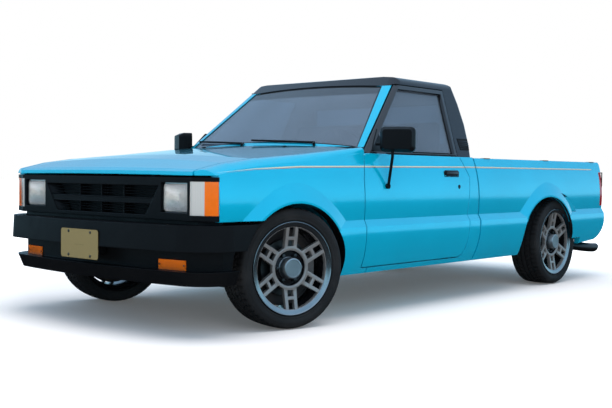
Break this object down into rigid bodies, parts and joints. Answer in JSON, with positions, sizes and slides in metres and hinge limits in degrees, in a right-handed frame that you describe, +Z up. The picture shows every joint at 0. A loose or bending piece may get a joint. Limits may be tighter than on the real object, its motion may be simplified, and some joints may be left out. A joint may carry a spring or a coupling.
{
  "type": "two-door regular-cab pickup truck",
  "caption": "Compact two-seat pickup truck, lowered, with long load bed, opening doors, hood and tailgate, steered front wheels and rolling wheels.",
  "frame": {"origin": "on the ground, at the middle of the bounding box seen from above", "axes": "front faces -Y, the vehicle's left is +X, +Z up"},
  "size_m": [1.9314, 4.2128, 1.374],
  "materials": {
    "body_paint": "gloss",
    "black_paint": "gloss",
    "tinted_glass": "gloss",
    "black_plastic": "matte",
    "tyre_rubber": "matte",
    "alloy": "satin",
    "chassis_steel": "satin",
    "cast_metal": "matte",
    "exhaust_steel": "polished",
    "headlamp_glass": "polished",
    "corner_lens": "gloss",
    "amber_lens": "gloss",
    "red_lens": "gloss",
    "seat_cloth": "woven",
    "cabin_trim": "matte",
    "spring_steel": "satin"
  },
  "bodies": {
    "chassis": {"frame_rails": "chassis_steel", "engine_block": "cast_metal", "radiator": "black_plastic", "front_suspension": "cast_metal", "rear_axle": "chassis_steel", "leaf_springs": "spring_steel", "propshaft": "chassis_steel", "fuel_tank": "chassis_steel", "exhaust": "exhaust_steel", "cab_shell": "body_paint", "roof_panel": "black_paint", "left_fender": "body_paint", "right_fender": "body_paint", "left_bed_side": "body_paint", "right_bed_side": "body_paint", "windshield": "tinted_glass", "rear_window": "tinted_glass", "cowl_panel": "black_plastic", "wipers": "black_plastic", "inner_wings": "chassis_steel", "grille": "black_plastic", "headlamps": "headlamp_glass", "corner_lamps": "corner_lens", "front_bumper": "black_plastic", "bumper_lamps": "amber_lens", "bench_seat": "seat_cloth", "dashboard": "cabin_trim", "steering_column": "cabin_trim", "bed_floor": "body_paint", "tail_lamps": "red_lens", "rear_pan": "body_paint"},
    "hood": {"hood": "body_paint"},
    "tailgate": {"tailgate": "body_paint"},
    "steering_wheel": {"steering_wheel": "cabin_trim"},
    "left_door": {"left_door": "body_paint", "left_door_glass": "tinted_glass", "left_mirror": "black_plastic"},
    "left_knuckle": {"left_knuckle": "cast_metal"},
    "wheel_front_left": {"tyre_front_left": "tyre_rubber", "rim_front_left": "alloy"},
    "wheel_rear_left": {"tyre_rear_left": "tyre_rubber", "rim_rear_left": "alloy"},
    "right_door": {"right_door": "body_paint", "right_door_glass": "tinted_glass", "right_mirror": "black_plastic"},
    "right_knuckle": {"right_knuckle": "cast_metal"},
    "wheel_front_right": {"tyre_front_right": "tyre_rubber", "rim_front_right": "alloy"},
    "wheel_rear_right": {"tyre_rear_right": "tyre_rubber", "rim_rear_right": "alloy"}
  },
  "joints": [
    {"name": "steer_left", "type": "hinge", "parent": "chassis", "child": "left_knuckle", "pos_m": [0.67, -1.3815, 0.302], "axis": [0, 0, 1], "range_deg": [-18.8, 47.2]},
    {"name": "spin_front_left", "type": "hinge", "parent": "left_knuckle", "child": "wheel_front_left", "pos_m": [0.67, -1.3815, 0.302], "axis": [0.9694, -0.2453, 0], "continuous": true},
    {"name": "spin_rear_left", "type": "hinge", "parent": "chassis", "child": "wheel_rear_left", "pos_m": [0.6675, 1.3795, 0.302], "axis": [1, 0, 0], "continuous": true},
    {"name": "left_door_swing", "type": "hinge", "parent": "chassis", "child": "left_door", "pos_m": [0.835, -0.8885, 0.6], "axis": [0, 0, -1], "range_deg": [0, 65]},
    {"name": "steer_right", "type": "hinge", "parent": "chassis", "child": "right_knuckle", "pos_m": [-0.67, -1.3815, 0.302], "axis": [0, 0, 1], "range_deg": [-18.8, 47.2]},
    {"name": "spin_front_right", "type": "hinge", "parent": "right_knuckle", "child": "wheel_front_right", "pos_m": [-0.67, -1.3815, 0.302], "axis": [0.9694, -0.2453, 0], "continuous": true},
    {"name": "spin_rear_right", "type": "hinge", "parent": "chassis", "child": "wheel_rear_right", "pos_m": [-0.6675, 1.3795, 0.302], "axis": [1, 0, 0], "continuous": true},
    {"name": "right_door_swing", "type": "hinge", "parent": "chassis", "child": "right_door", "pos_m": [-0.835, -0.8885, 0.6], "axis": [0, 0, 1], "range_deg": [0, 65]},
    {"name": "hood_lift", "type": "hinge", "parent": "chassis", "child": "hood", "pos_m": [0, -0.8855, 0.932], "axis": [-1, 0, 0], "range_deg": [0, 50]},
    {"name": "tailgate_drop", "type": "hinge", "parent": "chassis", "child": "tailgate", "pos_m": [0, 2.0925, 0.48], "axis": [-1, 0, 0], "range_deg": [0, 90]},
    {"name": "steering_turn", "type": "hinge", "parent": "chassis", "child": "steering_wheel", "pos_m": [0.365, -0.4815, 0.88], "axis": [0, 0.8829, 0.4695], "range_deg": [-283, 709]}
  ],
  "couplings": [
    {"joint": "steer_right", "follows": "steer_left", "ratio": 1},
    {"joint": "steering_turn", "follows": "steer_left", "ratio": 15}
  ]
}
